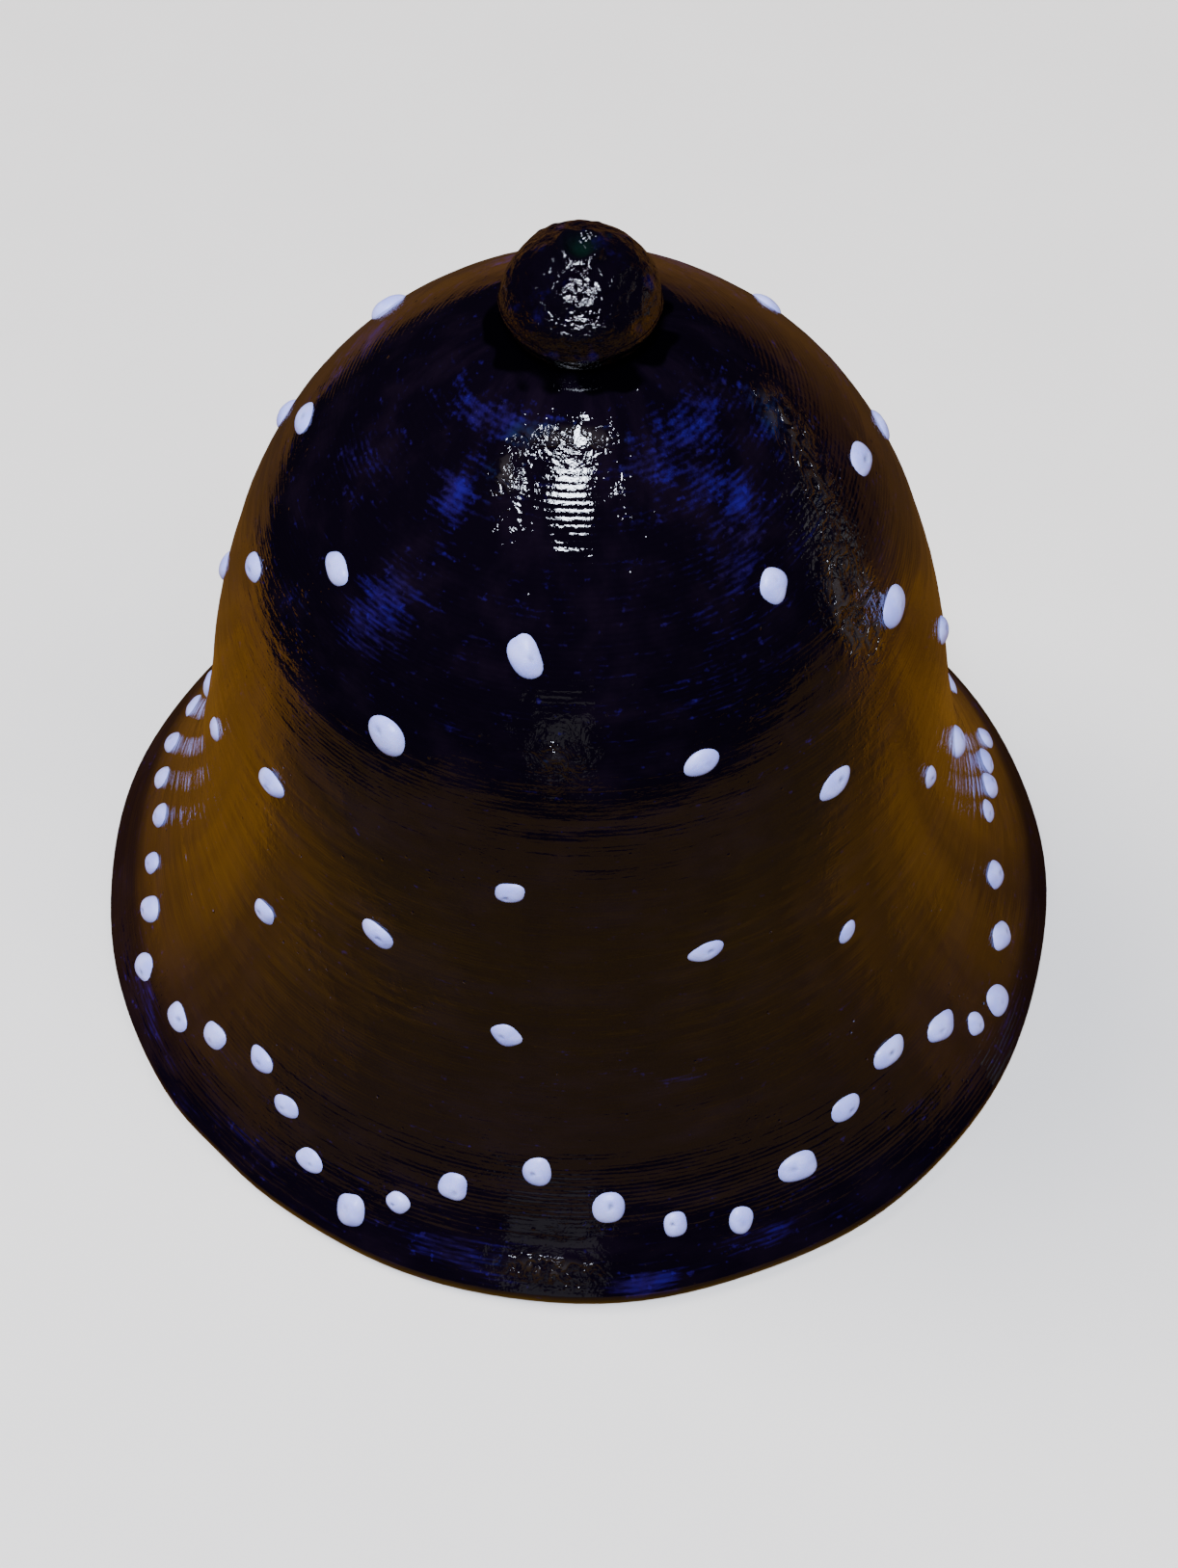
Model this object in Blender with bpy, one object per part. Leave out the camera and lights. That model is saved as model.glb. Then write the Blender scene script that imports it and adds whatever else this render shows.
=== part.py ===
"""Small hand-painted cobalt bell with a bead knob and a clapper on a short chain.

Metres, +Z up. The origin is on the bell's axis, on the surface that the rim stands on.
The bell is turned from one outline. A pin with an eye passes through the knob and the
crown and is clamped from inside by a nut, so it carries the knob above and the chain below.
The eye lies in the XZ plane, and each link of the chain is turned a quarter turn from the
one above it, so the pieces swing about X and Y in turn.
"""
import math

import bpy

MM = 0.001
GAP = 0.3 * MM                  # clearance between pieces that touch

# Bell body: radius and height along the outside, from the crown's flat seat to the lip.
OUTLINE_MM = [
    (4.7, 57.7), (6.6, 56.9), (10.9, 53.7), (14.9, 50.0), (18.4, 45.8), (21.0, 41.0), (22.8, 35.8),
    (24.1, 30.6), (25.3, 23.5), (26.9, 16.5), (28.9, 10.8), (31.2, 6.4), (33.2, 3.4), (35.0, 1.2),
]
OUTLINE_STEPS = 2               # rings between two outline points
WALL = 2.7 * MM                 # thickness of the bell's wall
LIP_ROUND = 0.5 * MM            # rounding of the lip's lower outer edge
INSIDE_STOP = 0.3 * MM          # the inside's lowest ring lies above this height
INSIDE_SEAT_R = 5.3 * MM        # radius of the flat seat under the crown
BELL_SIDES = 56

# Pin through the knob and the crown
PIN_R = 0.8 * MM
HOLE_R = PIN_R + GAP
EYE_R = 2.4 * MM                # radius of the eye, to the middle of its wire
EYE_BEND_R = 1.0 * MM           # bend between the shank and the eye
EYE_MOUTH = math.radians(42)    # how far short of a full turn the eye stops
PIN_TOP = 63.1 * MM
EYE_Z = 45.6 * MM               # middle of the pin's eye

# Knob: a flattened bead on the crown's flat seat
KNOB_R = 4.75 * MM
KNOB_HALF_HEIGHT = 3.7 * MM
KNOB_Z = 60.05 * MM
KNOB_SIDES = 32
KNOB_RINGS = 12

# Washers and nut that clamp the pin from inside
CUSHION_R = 4.7 * MM
CUSHION_THICK = 1.2 * MM
WASHER_R = 3.5 * MM
WASHER_THICK = 0.8 * MM
NUT_ACROSS_FLATS = 4.6 * MM
NUT_THICK = 1.9 * MM
SMALL_SIDES = 24

# Chain
LINK_R = 2.6 * MM               # radius of a link, to the middle of its wire
LINK_WIRE_R = 0.6 * MM
LINK_COUNT = 3
LINK_POINTS = 24

# Clapper
STEM_R = 0.7 * MM
STEM_EYE_R = 2.2 * MM
STEM_BEND_R = 0.9 * MM
STEM_END = 7.6 * MM
BALL_R = 6.3 * MM
BALL_Z = 16.0 * MM
BALL_SIDES = 32
BALL_RINGS = 14
COLLAR_R = 1.9 * MM
COLLAR_THICK = 1.4 * MM

COLOURS = {                     # colour, roughness, metallic
    "cobalt_glass": ((0.010, 0.012, 0.075, 1.0), 0.12, 0.0),
    "steel_wire": ((0.62, 0.62, 0.64, 1.0), 0.30, 1.0),
    "washer_steel": ((0.55, 0.56, 0.58, 1.0), 0.35, 1.0),
    "nut_brass": ((0.72, 0.52, 0.22, 1.0), 0.30, 1.0),
    "dark_felt": ((0.05, 0.05, 0.06, 1.0), 0.95, 0.0),
    "clapper_brass": ((0.75, 0.55, 0.25, 1.0), 0.22, 1.0),
}


def clear_scene():
    for obj in list(bpy.data.objects):
        bpy.data.objects.remove(obj, do_unlink=True)


def material(name, slot):
    """A Principled material of its own for each piece, in its slot's colour."""
    colour, roughness, metallic = COLOURS[slot]
    mat = bpy.data.materials.new(name)
    mat.use_nodes = True
    shader = mat.node_tree.nodes["Principled BSDF"]
    shader.inputs["Base Color"].default_value = colour
    shader.inputs["Roughness"].default_value = roughness
    shader.inputs["Metallic"].default_value = metallic
    return mat


def add_object(name, data, slot, origin_z, parent):
    """Link an object whose origin is on the bell's axis at height origin_z."""
    obj = bpy.data.objects.new(name, data)
    bpy.context.collection.objects.link(obj)
    data.materials.append(material(name + "_mat", slot))
    parent_z = 0.0
    if parent is not None:
        obj.parent = parent
        parent_z = parent["height"]
    obj.location = (0.0, 0.0, origin_z - parent_z)
    return obj


def add_pivot(name, height, parent):
    """An empty on a hinge's axis, which the pieces that swing there hang from."""
    pivot = bpy.data.objects.new(name, None)
    bpy.context.collection.objects.link(pivot)
    pivot["height"] = height
    parent_z = 0.0
    if parent is not None:
        pivot.parent = parent
        parent_z = parent["height"]
    pivot.location = (0.0, 0.0, height - parent_z)
    return pivot


def smooth_curve(points, steps):
    """Points on a Catmull-Rom curve through the given (radius, height) points."""
    ends = [points[0]] + list(points) + [points[-1]]
    curve = []
    for a, b, c, d in zip(ends, ends[1:], ends[2:], ends[3:]):
        for k in range(steps):
            t = k / steps
            curve.append(tuple(
                0.5 * (2 * q + (r - p) * t + (2 * p - 5 * q + 4 * r - s) * t ** 2
                       + (3 * q - p - 3 * r + s) * t ** 3)
                for p, q, r, s in zip(a, b, c, d)))
    curve.append(points[-1])
    return curve


def offset_inwards(curve, distance):
    """The curve moved towards the axis and down, square to itself."""
    moved = []
    for k, (r, z) in enumerate(curve):
        before = curve[max(k - 1, 0)]
        after = curve[min(k + 1, len(curve) - 1)]
        along_r = after[0] - before[0]
        along_z = after[1] - before[1]
        length = math.hypot(along_r, along_z)
        moved.append((r + distance * along_z / length, z - distance * along_r / length))
    return moved


def turned_mesh(name, rings, sides, origin_z, radius_at=None):
    """A closed ring-shaped body: a closed outline of (radius, height) turned round the axis.

    The outline runs down the outside and back up the inside. radius_at(radius, angle) bends
    a ring out of round, which makes a nut's flats.
    """
    verts = []
    for r, z in rings:
        for k in range(sides):
            angle = 2 * math.pi * k / sides
            reach = radius_at(r, angle) if radius_at else r
            verts.append((reach * math.cos(angle), reach * math.sin(angle), z - origin_z))
    faces = []
    count = len(rings)
    for i in range(count):
        j = (i + 1) % count
        for k in range(sides):
            n = (k + 1) % sides
            faces.append((i * sides + k, j * sides + k, j * sides + n, i * sides + n))
    mesh = bpy.data.meshes.new(name)
    mesh.from_pydata(verts, [], faces)
    mesh.shade_smooth()
    mesh.set_sharp_from_angle(angle=math.radians(35))
    return mesh


def ring_outline(inner_r, outer_r, bottom, top):
    """A flat ring's outline, with small chamfers on its outer edges."""
    edge = 0.15 * (top - bottom)
    return [
        (inner_r, top), (outer_r - edge, top), (outer_r, top - edge),
        (outer_r, bottom + edge), (outer_r - edge, bottom), (inner_r, bottom),
    ]


def bead_outline(hole_r, radius, half_height, middle, bottom, rings):
    """A bead's outline from its upper hole edge down to the height bottom, and its hole."""
    start = math.asin(hole_r / radius)
    end = math.acos((bottom - middle) / half_height)
    outline = []
    for k in range(rings + 1):
        angle = start + (end - start) * k / rings
        outline.append((radius * math.sin(angle), middle + half_height * math.cos(angle)))
    outline.append((hole_r, bottom))
    return outline


def wire(name, points, radius, closed=False):
    """A round wire along points in the XZ plane, as a curve with a bevel."""
    curve = bpy.data.curves.new(name, "CURVE")
    curve.dimensions = "3D"
    curve.bevel_depth = radius
    curve.bevel_resolution = 3
    curve.render_resolution_u = 0
    curve.use_fill_caps = True
    spline = curve.splines.new("POLY")
    spline.points.add(len(points) - 1)
    for point, (x, z) in zip(spline.points, points):
        point.co = (x, 0.0, z, 1.0)
    spline.use_cyclic_u = closed
    return curve


def eye_wire_points(eye_r, bend_r, shank_length):
    """A shank that bends into an eye: points (x, z) with the eye's middle at zero.

    The shank comes in along the axis from above, an S bend takes it onto the eye's circle,
    and the eye ends a little short of its own start.
    """
    rise = math.sqrt((eye_r + bend_r) ** 2 - bend_r ** 2)
    lean = math.asin(bend_r / (eye_r + bend_r))
    points = [(0.0, rise + shank_length)]
    bend_turn = math.pi / 2 - lean
    for k in range(5):
        angle = math.pi + bend_turn * k / 4
        points.append((bend_r + bend_r * math.cos(angle), rise + bend_r * math.sin(angle)))
    turn = 2 * math.pi - EYE_MOUTH - lean
    steps = 22
    for k in range(1, steps + 1):
        angle = lean + turn * k / steps
        points.append((eye_r * math.sin(angle), eye_r * math.cos(angle)))
    return points


def bell_outline():
    """The bell's closed outline: outside, lip, standing ring, inside, seat and crown hole.

    The inside's lowest ring runs down to the standing ring at 45 degrees.
    """
    outline = [(r * MM, z * MM) for r, z in OUTLINE_MM]
    outside = smooth_curve(outline, OUTLINE_STEPS)
    inside = offset_inwards(outline, WALL)
    inside = [(r, z) for r, z in inside if r > INSIDE_SEAT_R and z > INSIDE_STOP]
    seat_z = inside_seat_z()
    lip_r = outline[-1][0]
    lip = [(lip_r, LIP_ROUND), (lip_r - LIP_ROUND, 0.0)]
    lowest_r, lowest_z = inside[-1]
    stand = [(lowest_r + lowest_z, 0.0)]
    top = [(HOLE_R, seat_z), (HOLE_R, outline[0][1])]
    return outside + lip + stand + inside[::-1] + [(INSIDE_SEAT_R, seat_z)] + top


def inside_seat_z():
    """Height of the flat seat inside the crown, where the offset outline reaches its radius."""
    outline = [(r * MM, z * MM) for r, z in OUTLINE_MM]
    inside = offset_inwards(outline, WALL)
    for (r0, z0), (r1, z1) in zip(inside, inside[1:]):
        if r0 <= INSIDE_SEAT_R <= r1:
            return z0 + (z1 - z0) * (INSIDE_SEAT_R - r0) / (r1 - r0)
    return inside[0][1]


def make_bell_body():
    mesh = turned_mesh("bell_body", bell_outline(), BELL_SIDES, 0.0)
    add_object("bell_body", mesh, "cobalt_glass", 0.0, None)


def make_knob():
    base = OUTLINE_MM[0][1] * MM + GAP
    outline = bead_outline(HOLE_R, KNOB_R, KNOB_HALF_HEIGHT, KNOB_Z, base, KNOB_RINGS)
    mesh = turned_mesh("knob", outline, KNOB_SIDES, KNOB_Z)
    add_object("knob", mesh, "cobalt_glass", KNOB_Z, None)


def make_hanger_pin():
    rise = math.sqrt((EYE_R + EYE_BEND_R) ** 2 - EYE_BEND_R ** 2)
    points = eye_wire_points(EYE_R, EYE_BEND_R, PIN_TOP - EYE_Z - rise)
    add_object("hanger_pin", wire("hanger_pin", points, PIN_R), "steel_wire", EYE_Z, None)


def hexagon(radius, angle):
    """Reach of a nut whose flats are at radius, at this angle. The hole stays round."""
    if radius <= HOLE_R:
        return radius
    from_flat = (angle % (math.pi / 3)) - math.pi / 6
    return radius / math.cos(from_flat)


def make_clamp_stack():
    """Cushion, washer and nut on the pin, one under the other against the crown."""
    top = inside_seat_z() - GAP
    bottom = top - CUSHION_THICK
    outline = ring_outline(HOLE_R, CUSHION_R, bottom, top)
    mesh = turned_mesh("seat_cushion", outline, SMALL_SIDES, bottom)
    add_object("seat_cushion", mesh, "dark_felt", bottom, None)
    top = bottom - GAP
    bottom = top - WASHER_THICK
    outline = ring_outline(HOLE_R, WASHER_R, bottom, top)
    mesh = turned_mesh("clamp_washer", outline, SMALL_SIDES, bottom)
    add_object("clamp_washer", mesh, "washer_steel", bottom, None)
    top = bottom - GAP
    bottom = top - NUT_THICK
    outline = ring_outline(HOLE_R, NUT_ACROSS_FLATS / 2, bottom, top)
    mesh = turned_mesh("clamp_nut", outline, SMALL_SIDES, bottom, hexagon)
    add_object("clamp_nut", mesh, "nut_brass", bottom, None)


def make_chain():
    """The links, each on the wire above it. Returns the last pivot and the wire radius there."""
    height = EYE_Z - EYE_R
    above_r = PIN_R
    pivot = None
    circle = []
    for k in range(LINK_POINTS):
        angle = 2 * math.pi * k / LINK_POINTS
        circle.append((LINK_R * math.sin(angle), LINK_R * math.cos(angle)))
    for number in range(1, LINK_COUNT + 1):
        pivot = add_pivot("link_%d_pivot" % number, height, pivot)
        middle = height + above_r + GAP + LINK_WIRE_R - LINK_R
        name = "chain_link_%d" % number
        link = add_object(name, wire(name, circle, LINK_WIRE_R, True), "steel_wire", middle, pivot)
        if number % 2 == 1:
            link.rotation_euler = (0.0, 0.0, math.pi / 2)
        height = middle - LINK_R
        above_r = LINK_WIRE_R
    return add_pivot("clapper_pivot", height, pivot)


def make_clapper(pivot):
    """Stem with an eye at its top, and the ball on it between two collars."""
    eye_z = pivot["height"] + LINK_WIRE_R + GAP + STEM_R - STEM_EYE_R
    rise = math.sqrt((STEM_EYE_R + STEM_BEND_R) ** 2 - STEM_BEND_R ** 2)
    points = eye_wire_points(STEM_EYE_R, STEM_BEND_R, eye_z - STEM_END - rise)
    hanging = [(x, -z) for x, z in points]
    stem = wire("clapper_stem", hanging, STEM_R)
    add_object("clapper_stem", stem, "steel_wire", eye_z, pivot)

    hole_r = STEM_R + GAP
    ball_half = math.sqrt(BALL_R ** 2 - hole_r ** 2)
    outline = bead_outline(hole_r, BALL_R, BALL_R, BALL_Z, BALL_Z - ball_half, BALL_RINGS)
    outline.pop()
    mesh = turned_mesh("clapper_ball", outline, BALL_SIDES, BALL_Z)
    add_object("clapper_ball", mesh, "clapper_brass", BALL_Z, pivot)

    below = BALL_Z - ball_half - GAP - COLLAR_THICK
    above = BALL_Z + ball_half + GAP
    for name, bottom in (("clapper_collar_lower", below), ("clapper_collar_upper", above)):
        outline = ring_outline(hole_r, COLLAR_R, bottom, bottom + COLLAR_THICK)
        mesh = turned_mesh(name, outline, SMALL_SIDES, bottom)
        add_object(name, mesh, "nut_brass", bottom, pivot)


def main():
    clear_scene()
    make_bell_body()
    make_knob()
    make_hanger_pin()
    make_clamp_stack()
    clapper_pivot = make_chain()
    make_clapper(clapper_pivot)


main()
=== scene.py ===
"""Looks for the hand-painted cobalt bell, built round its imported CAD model.

The CAD model gives every place and size. This script adds the fine surface: a bell body with
turning rings, brush relief and an uneven lip, raised drops of white paint, a lumpy bead knob,
and finer pin, nut, links and clapper inside. Lengths below are in millimetres, MM turns them
into metres. Azimuth 0 is the front, on the -Y side, and azimuths grow towards +X.
"""

import math
import random

import bmesh
import bpy
import numpy as np
from mathutils import Matrix, Vector, noise


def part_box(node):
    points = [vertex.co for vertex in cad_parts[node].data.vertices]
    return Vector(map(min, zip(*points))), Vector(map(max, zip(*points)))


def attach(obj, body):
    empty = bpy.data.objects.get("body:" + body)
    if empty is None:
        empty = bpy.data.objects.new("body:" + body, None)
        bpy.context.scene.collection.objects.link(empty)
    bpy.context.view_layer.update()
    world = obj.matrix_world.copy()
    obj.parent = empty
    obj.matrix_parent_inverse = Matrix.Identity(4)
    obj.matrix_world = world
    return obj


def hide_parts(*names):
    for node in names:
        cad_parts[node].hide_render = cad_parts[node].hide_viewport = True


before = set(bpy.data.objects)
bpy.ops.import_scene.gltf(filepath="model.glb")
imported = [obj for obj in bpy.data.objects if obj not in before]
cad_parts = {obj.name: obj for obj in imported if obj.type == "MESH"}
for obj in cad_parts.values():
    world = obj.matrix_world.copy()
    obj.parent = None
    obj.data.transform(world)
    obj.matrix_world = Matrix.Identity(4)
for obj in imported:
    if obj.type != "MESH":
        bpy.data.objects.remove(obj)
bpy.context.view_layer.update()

MM = 0.001
TURN = 2 * math.pi
SEED = 7

# The bell's outside: radius and height from the crown's seat to the lip, as in the CAD model
OUTLINE = [
    (4.7, 57.7), (6.6, 56.9), (10.9, 53.7), (14.9, 50.0), (18.4, 45.8), (21.0, 41.0), (22.8, 35.8),
    (24.1, 30.6), (25.3, 23.5), (26.9, 16.5), (28.9, 10.8), (31.2, 6.4), (33.2, 3.4), (35.0, 1.2),
]
WALL = 2.7
HOLE_R = 1.1                 # the pin's hole through the crown
SEAT_R = 5.3                 # flat seat inside the crown
STAND_R = 32.8               # inner edge of the flat ring the bell stands on
LIP_ROUND = 0.5
LIP_RINGS = 9                # rows of points round the lip and the stand, before the inside
CROWN_RINGS = 3              # rows on the crown, after the inside

# Fine surface of the body
BODY_SIDES = 144
LAYER = 0.285                # height from one fine ring to the next
LAYER_ROWS = 3               # mesh rows in one ring
RING_STEEP = 0.003           # relief of the rings on an upright wall
RING_FLAT = 0.016            # relief of the rings where the surface lies flat
INSIDE_STEP = 1.8            # mesh rows inside the bell

# Raised drops of white paint on the wall: two sets of columns, each a row of heights
COLUMNS_A = (-97.5, -55, -10, 44, 87, 136, 181, 226)
HEIGHTS_A = (47.5, 32.5, 19.5)
COLUMNS_B = (-77, -32, 20, 68, 110.5, 158, 203, 247)
HEIGHTS_B = (41.3, 26.0)
# Turning points of the wavy row of drops above the lip: azimuth and height, low and high in turn
GARLAND = [
    (108, 4.6), (136, 9.3), (158, 4.0), (181, 9.0), (203, 3.6), (226, 9.2), (248, 4.2),
]
GARLAND_STEPS = 3            # drops from one turning point to the next


# ---------------- shape helpers

def smooth_curve(points, steps):
    """Points on a Catmull-Rom curve through the given (radius, height) points."""
    ends = [points[0]] + list(points) + [points[-1]]
    curve = []
    for a, b, c, d in zip(ends, ends[1:], ends[2:], ends[3:]):
        for k in range(steps):
            t = k / steps
            curve.append([
                0.5 * (2 * q + (r - p) * t + (2 * p - 5 * q + 4 * r - s) * t ** 2
                       + (3 * q - p - 3 * r + s) * t ** 3)
                for p, q, r, s in zip(a, b, c, d)])
    curve.append(list(points[-1]))
    return np.array(curve)


def unit(values):
    """The values, cut off below 0 and above 1."""
    return np.clip(values, 0.0, 1.0)


def walked(curve):
    """Distance along a curve to each of its points."""
    steps = np.hypot(*np.diff(curve, axis=0).T)
    return np.concatenate([[0.0], np.cumsum(steps)])


def resampled(curve, step):
    """The curve with evenly spaced points, about step apart."""
    arc = walked(curve)
    count = max(2, round(arc[-1] / step) + 1)
    at = np.linspace(0.0, arc[-1], count)
    return np.stack([np.interp(at, arc, curve[:, 0]), np.interp(at, arc, curve[:, 1])], 1)


def normals_of(curve):
    """Outward normals of a curve that runs down the outside, as (radial, upward)."""
    along = np.gradient(curve, axis=0)
    along /= np.hypot(*along.T)[:, None]
    return np.stack([-along[:, 1], along[:, 0]], 1)


def in_layers(curve, step):
    """The falling curve with a point at every step of height."""
    count = round((curve[0, 1] - curve[-1, 1]) / step) + 1
    height = np.linspace(curve[0, 1], curve[-1, 1], count)
    return np.stack([np.interp(-height, -curve[:, 1], curve[:, 0]), height], 1)


OUTSIDE = in_layers(smooth_curve(OUTLINE, 24), LAYER / LAYER_ROWS)
OUTSIDE_NORMALS = normals_of(OUTSIDE)
OUTSIDE_ARC = walked(OUTSIDE)


def mesh_object(name, verts, faces, material, smooth_angle=None):
    """A mesh object from vertices in millimetres, shaded smooth, in one material."""
    mesh = bpy.data.meshes.new(name)
    mesh.from_pydata((np.asarray(verts) * MM).tolist(), [], faces)
    turn_outwards(mesh)
    mesh.shade_smooth()
    if smooth_angle is not None:
        mesh.set_sharp_from_angle(angle=math.radians(smooth_angle))
    obj = bpy.data.objects.new(name, mesh)
    bpy.context.scene.collection.objects.link(obj)
    mesh.materials.append(material)
    return obj


def turn_outwards(mesh):
    """Makes the faces of a closed mesh look outwards."""
    shape = bmesh.new()
    shape.from_mesh(mesh)
    if shape.calc_volume(signed=True) < 0.0:
        mesh.flip_normals()
    shape.free()


def grid_faces(rows, columns, wrap_rows=False):
    """Quads between rows of points that each go round the axis."""
    faces = []
    last = rows if wrap_rows else rows - 1
    for i in range(last):
        a = i * columns
        b = ((i + 1) % rows) * columns
        for k in range(columns):
            n = (k + 1) % columns
            faces.append((a + k, b + k, b + n, a + n))
    return faces


def dome_faces(first, rings, sides):
    """A fan round the point with this index, rings of points below it, and a closing face."""
    faces = [(first, first + 1 + k, first + 1 + (k + 1) % sides) for k in range(sides)]
    faces += [tuple(first + 1 + i for i in face) for face in grid_faces(rings + 1, sides)]
    last = first + 1 + rings * sides
    faces.append(tuple(last + k for k in reversed(range(sides))))
    return faces


def soft_noise(points, scale, seed=0):
    """Perlin noise at each point, for a feature size of scale in the points' own unit."""
    shift = Vector((17.3 * seed, -9.1 * seed, 5.7 * seed))
    return np.array([noise.noise(Vector(p) / scale + shift) for p in points])


def around(radius, height, azimuth):
    """A point on the bell from its radius, height and azimuth in radians."""
    return np.stack([radius * np.sin(azimuth), -radius * np.cos(azimuth), height], -1)


def turned(outline, sides, first=0.0):
    """Radius, height and angle of every vertex of an outline turned round the axis."""
    rows = np.asarray(outline)
    angle = np.tile(TURN * np.arange(sides) / sides + first, len(rows))
    return np.repeat(rows[:, 0], sides), np.repeat(rows[:, 1], sides), angle


# ---------------- materials

def new_material(name, **sockets):
    """A node material whose Principled shader has these constant values."""
    mat = bpy.data.materials.new(name)
    mat.use_nodes = True
    shader = mat.node_tree.nodes["Principled BSDF"]
    for socket, value in sockets.items():
        shader.inputs[socket.replace("_", " ")].default_value = value
    return mat


class Nodes:
    """Short ways to add nodes to one material."""

    def __init__(self, mat):
        self.tree = mat.node_tree
        self.shader = self.tree.nodes["Principled BSDF"]
        self.place = self.add("ShaderNodeTexCoord").outputs["Object"]

    def add(self, kind, inputs=None, **values):
        """A node with these settings. Its inputs get constants or other nodes' outputs."""
        node = self.tree.nodes.new(kind)
        for name, value in values.items():
            setattr(node, name, value)
        for socket, value in (inputs or {}).items():
            if isinstance(value, bpy.types.NodeSocket):
                self.tree.links.new(value, node.inputs[socket])
            else:
                node.inputs[socket].default_value = value
        return node

    def set(self, socket, source):
        """source into one of the Principled shader's sockets."""
        self.tree.links.new(source, self.shader.inputs[socket])

    def stored(self, name):
        """A value that the mesh holds for each vertex."""
        return self.add("ShaderNodeAttribute", attribute_name=name).outputs["Fac"]

    def axes(self, vector=None):
        """The X, Y and Z of a vector, or of the position."""
        return self.add("ShaderNodeSeparateXYZ", {"Vector": vector or self.place}).outputs

    def stretched(self, scale, vector=None):
        """The position times a scale for each axis."""
        inputs = {"Scale": scale, "Vector": vector or self.place}
        return self.add("ShaderNodeMapping", inputs).outputs["Vector"]

    def noise(self, scale, detail=3.0, roughness=0.55, vector=None, distortion=0.0):
        inputs = {"Scale": scale, "Detail": detail, "Roughness": roughness,
                  "Distortion": distortion, "Vector": vector or self.place}
        return self.add("ShaderNodeTexNoise", inputs).outputs["Fac"]

    def ramp(self, source, low, high, out_low=0.0, out_high=1.0):
        """source from low to high, eased onto out_low to out_high."""
        inputs = {"From Min": low, "From Max": high, "To Min": out_low, "To Max": out_high,
                  "Value": source}
        node = self.add("ShaderNodeMapRange", inputs, interpolation_type="SMOOTHSTEP")
        return node.outputs["Result"]

    def math(self, operation, a, b):
        return self.add("ShaderNodeMath", {0: a, 1: b}, operation=operation).outputs["Value"]

    def times(self, a, b):
        return self.math("MULTIPLY", a, b)

    def plus(self, a, b):
        return self.math("ADD", a, b)

    def mix(self, factor, first, second):
        """A colour between two, which are colours or sockets."""
        first, second = (c + (1.0,) if isinstance(c, tuple) else c for c in (first, second))
        inputs = {"Factor": factor, 6: first, 7: second}
        return self.add("ShaderNodeMix", inputs, data_type="RGBA").outputs[2]

    def bump(self, height, distance, below=None):
        """Surface relief: height times distance, in metres, on top of the relief below."""
        inputs = {"Distance": distance, "Height": height}
        if below is not None:
            inputs["Normal"] = below
        return self.add("ShaderNodeBump", inputs).outputs["Normal"]

    def specks(self, cell, size, share):
        """Small round bumps: one in each cell of cell millimetres, for a share of the cells."""
        inputs = {"Scale": 1.0 / (cell * MM), "Vector": self.place}
        cells = self.add("ShaderNodeTexVoronoi", inputs, feature="F1").outputs
        split = self.add("ShaderNodeSeparateColor", {"Color": cells["Color"]})
        chosen = self.math("LESS_THAN", split.outputs["Red"], share)
        return self.times(self.ramp(cells["Distance"], size / cell, 0.0), chosen)


KNOB_SHADOW_BLACK = (0.0004, 0.0003, 0.0008)
NEAR_BLACK = (0.0017, 0.0008, 0.0030)
VIOLET_BROWN = (0.0040, 0.0020, 0.0058)
COBALT = (0.0110, 0.0016, 0.100)
NAVY = (0.0085, 0.0035, 0.034)
TEAL = (0.0040, 0.0120, 0.022)
SCURF_AND_REFLECTION_GREY = (0.0270, 0.0220, 0.0215)
DENT_SHADE_GREEN = (0.0015, 0.0060, 0.0048)
TABLE_REFLECTION_BROWN = (0.036, 0.024, 0.016)


def gloss_coat(nodes, relief):
    """The same relief for the paint and for the gloss over it."""
    nodes.set("Normal", relief)
    nodes.set("Coat Normal", relief)


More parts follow.
